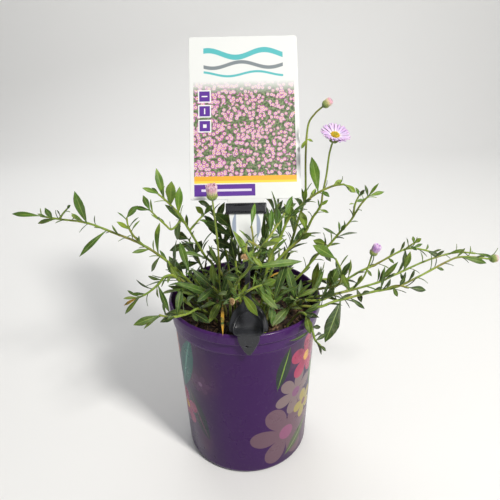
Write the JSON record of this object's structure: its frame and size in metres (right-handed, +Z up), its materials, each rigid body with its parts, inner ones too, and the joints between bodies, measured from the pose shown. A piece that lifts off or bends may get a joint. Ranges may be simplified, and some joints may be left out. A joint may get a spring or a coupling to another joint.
{
  "type": "potted erigeron",
  "caption": "Seaside daisy with leafy trailing stems, buds and an open bloom, growing in a tapered nursery pot with a picture card clipped to the rim.",
  "frame": {"origin": "middle of the pot's flat base, where it stands", "axes": "+Z up the pot's axis, -Y towards the card's printed face, +X to the right as the card is read"},
  "size_m": [0.426, 0.1737, 0.383],
  "materials": {
    "pot_plastic": "moulded, printed sleeve, satin",
    "clip_plastic": "moulded, fine texture",
    "card_plastic": "printed sheet, semi-gloss",
    "bark_mix": "loose composted bark",
    "green_growth": "fleshy leaf, finely hairy",
    "ray_petal": "thin petal, satin",
    "disc_floret": "mealy florets",
    "bud_petal": "rolled petals, satin"
  },
  "bodies": {
    "root": {"pot": "pot_plastic", "potting_mix": "bark_mix", "label_holder": "clip_plastic", "label_card": "card_plastic", "left_runner": "green_growth", "left_upright": "green_growth", "left_low": "green_growth", "left_front": "green_growth", "left_spray": "green_growth", "tall_bud": "green_growth", "tall_bud_petals": "bud_petal", "centre_tall": "green_growth", "front_clip": "green_growth", "open_flower": "green_growth", "flower_rays": "ray_petal", "flower_disc": "disc_floret", "top_bud": "green_growth", "top_bud_petals": "bud_petal", "upper_right": "green_growth", "right_upper": "green_growth", "right_main": "green_growth", "right_low": "green_growth", "right_low_petals": "bud_petal", "right_fork": "green_growth", "purple_bud": "green_growth", "purple_bud_petals": "bud_petal", "right_lateral": "green_growth", "right_drop": "green_growth", "right_fan": "green_growth", "back_right_a": "green_growth", "back_left_a": "green_growth", "back_centre": "green_growth", "back_left_b": "green_growth", "crown_shoot_01": "green_growth", "crown_shoot_02": "green_growth", "crown_shoot_03": "green_growth", "crown_shoot_04": "green_growth", "crown_shoot_05": "green_growth", "crown_shoot_06": "green_growth", "crown_shoot_07": "green_growth", "crown_shoot_08": "green_growth", "crown_shoot_09": "green_growth", "crown_shoot_10": "green_growth", "crown_shoot_11": "green_growth", "crown_shoot_12": "green_growth"}
  },
  "joints": []
}
